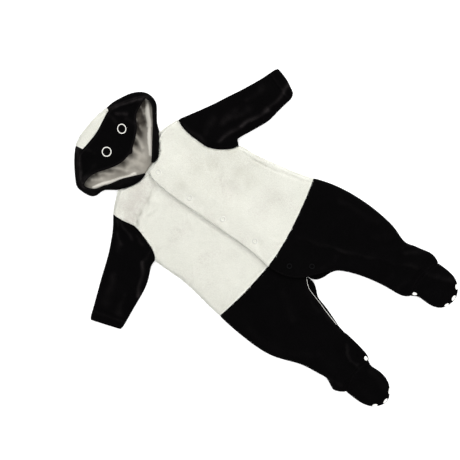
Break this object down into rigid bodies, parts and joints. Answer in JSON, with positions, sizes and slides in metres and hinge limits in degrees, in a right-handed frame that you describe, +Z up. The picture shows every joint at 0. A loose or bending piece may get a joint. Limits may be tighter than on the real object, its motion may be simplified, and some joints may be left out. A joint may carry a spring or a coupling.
{
  "type": "plush pramsuit",
  "caption": "Baby's hooded, footed plush pramsuit in black and white, laid flat with its snap placket fastened.",
  "frame": {"origin": "middle of the underside of the bounding box, on the surface the garment lies on", "axes": "+Y from the feet to the hood, +X towards the wearer's left, +Z up out of the front"},
  "size_m": [0.5488, 0.708, 0.0205],
  "materials": {
    "white_plush": "deep matt pile",
    "black_velour": "short matt pile with a faint sheen",
    "jersey_lining": "fine knit, matt",
    "white_thread": "satin stitch",
    "snap_white": "satin",
    "snap_black": "satin"
  },
  "bodies": {
    "root": {"back_body": "white_plush", "front_left": "white_plush", "front_right": "white_plush", "hood_crown": "white_plush", "sleeve_left": "black_velour", "sleeve_right": "black_velour", "leg_front_left": "black_velour", "leg_front_right": "black_velour", "leg_back_left": "black_velour", "leg_back_right": "black_velour", "foot_upper_left": "black_velour", "foot_upper_right": "black_velour", "sole_left": "black_velour", "sole_right": "black_velour", "hood_back": "black_velour", "hood_face": "black_velour", "hood_side_left": "black_velour", "hood_side_right": "black_velour", "hood_lining": "jersey_lining", "facing_edge": "white_thread", "eye_ring_left": "white_thread", "eye_ring_right": "white_thread", "snap_1": "snap_white", "snap_2": "snap_white", "snap_3": "snap_white", "snap_4": "snap_white", "snap_5": "snap_black", "snap_6": "snap_black"}
  },
  "joints": []
}
